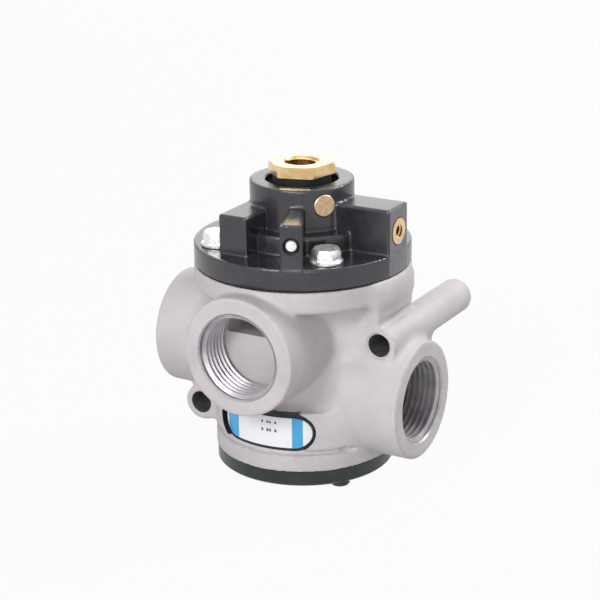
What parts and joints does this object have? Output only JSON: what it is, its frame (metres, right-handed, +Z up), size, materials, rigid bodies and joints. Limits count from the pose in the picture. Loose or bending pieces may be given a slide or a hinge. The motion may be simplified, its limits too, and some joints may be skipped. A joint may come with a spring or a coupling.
{
  "type": "poppet valve",
  "caption": "Pilot-operated poppet valve: round cast body with threaded ports at different heights, black pilot cover with a brass fitting, mounting tubes and a sprung spindle.",
  "frame": {"origin": "spindle axis at the underside of the bottom cap's pad", "axes": "+Z up the spindle axis to the pilot fitting; the exhaust port faces -Y, the inlet +X, the outlet -X, and the mounting plane +Y"},
  "size_m": [0.107, 0.1026, 0.122],
  "materials": {
    "cast_body": "matte die casting, shot blasted",
    "label": "printed film, satin",
    "black_cap": "black coated, satin",
    "black_cover": "moulded, satin",
    "machined_aluminium": "turned",
    "brass": "machined",
    "bronze": "sintered",
    "steel": "zinc plated",
    "spring_steel": "drawn wire",
    "nitrile_rubber": "moulded"
  },
  "bodies": {
    "housing": {"body": "cast_body", "label_plate": "label", "bottom_cap": "black_cap", "bottom_cap_seal": "nitrile_rubber", "bottom_cap_screws": "steel", "guide_plate": "machined_aluminium", "guide_plate_seal": "nitrile_rubber", "guide_plate_ring": "steel", "guide_bush": "bronze", "stem_seal": "nitrile_rubber", "cover_gasket": "nitrile_rubber", "pilot_cover": "black_cover", "cover_screws": "steel", "pilot_fitting": "brass", "fitting_seal": "nitrile_rubber", "side_port_insert": "brass", "passage_plug": "brass"},
    "spindle": {"stem": "steel", "pilot_piston": "machined_aluminium", "piston_seal": "nitrile_rubber", "piston_nut": "steel", "upper_poppet": "brass", "upper_poppet_seal": "nitrile_rubber", "poppet_clip": "steel", "lower_poppet": "brass", "lower_poppet_seal": "nitrile_rubber", "lower_nut": "steel", "return_spring": "spring_steel"},
    "override": {"override_pin": "steel", "override_seal": "nitrile_rubber"}
  },
  "joints": [
    {"name": "spindle_stroke", "type": "slide", "parent": "housing", "child": "spindle", "axis": [0, 0, -1], "range_m": [0, 0.005], "stiffness_N_per_m": 8000, "springref_m": -0.004, "deforming": ["return_spring"]},
    {"name": "override_push", "type": "slide", "parent": "housing", "child": "override", "axis": [-0.4115, 0.9114, 0], "range_m": [0, 0.002], "stiffness_N_per_m": 300, "springref_m": -0.003}
  ]
}
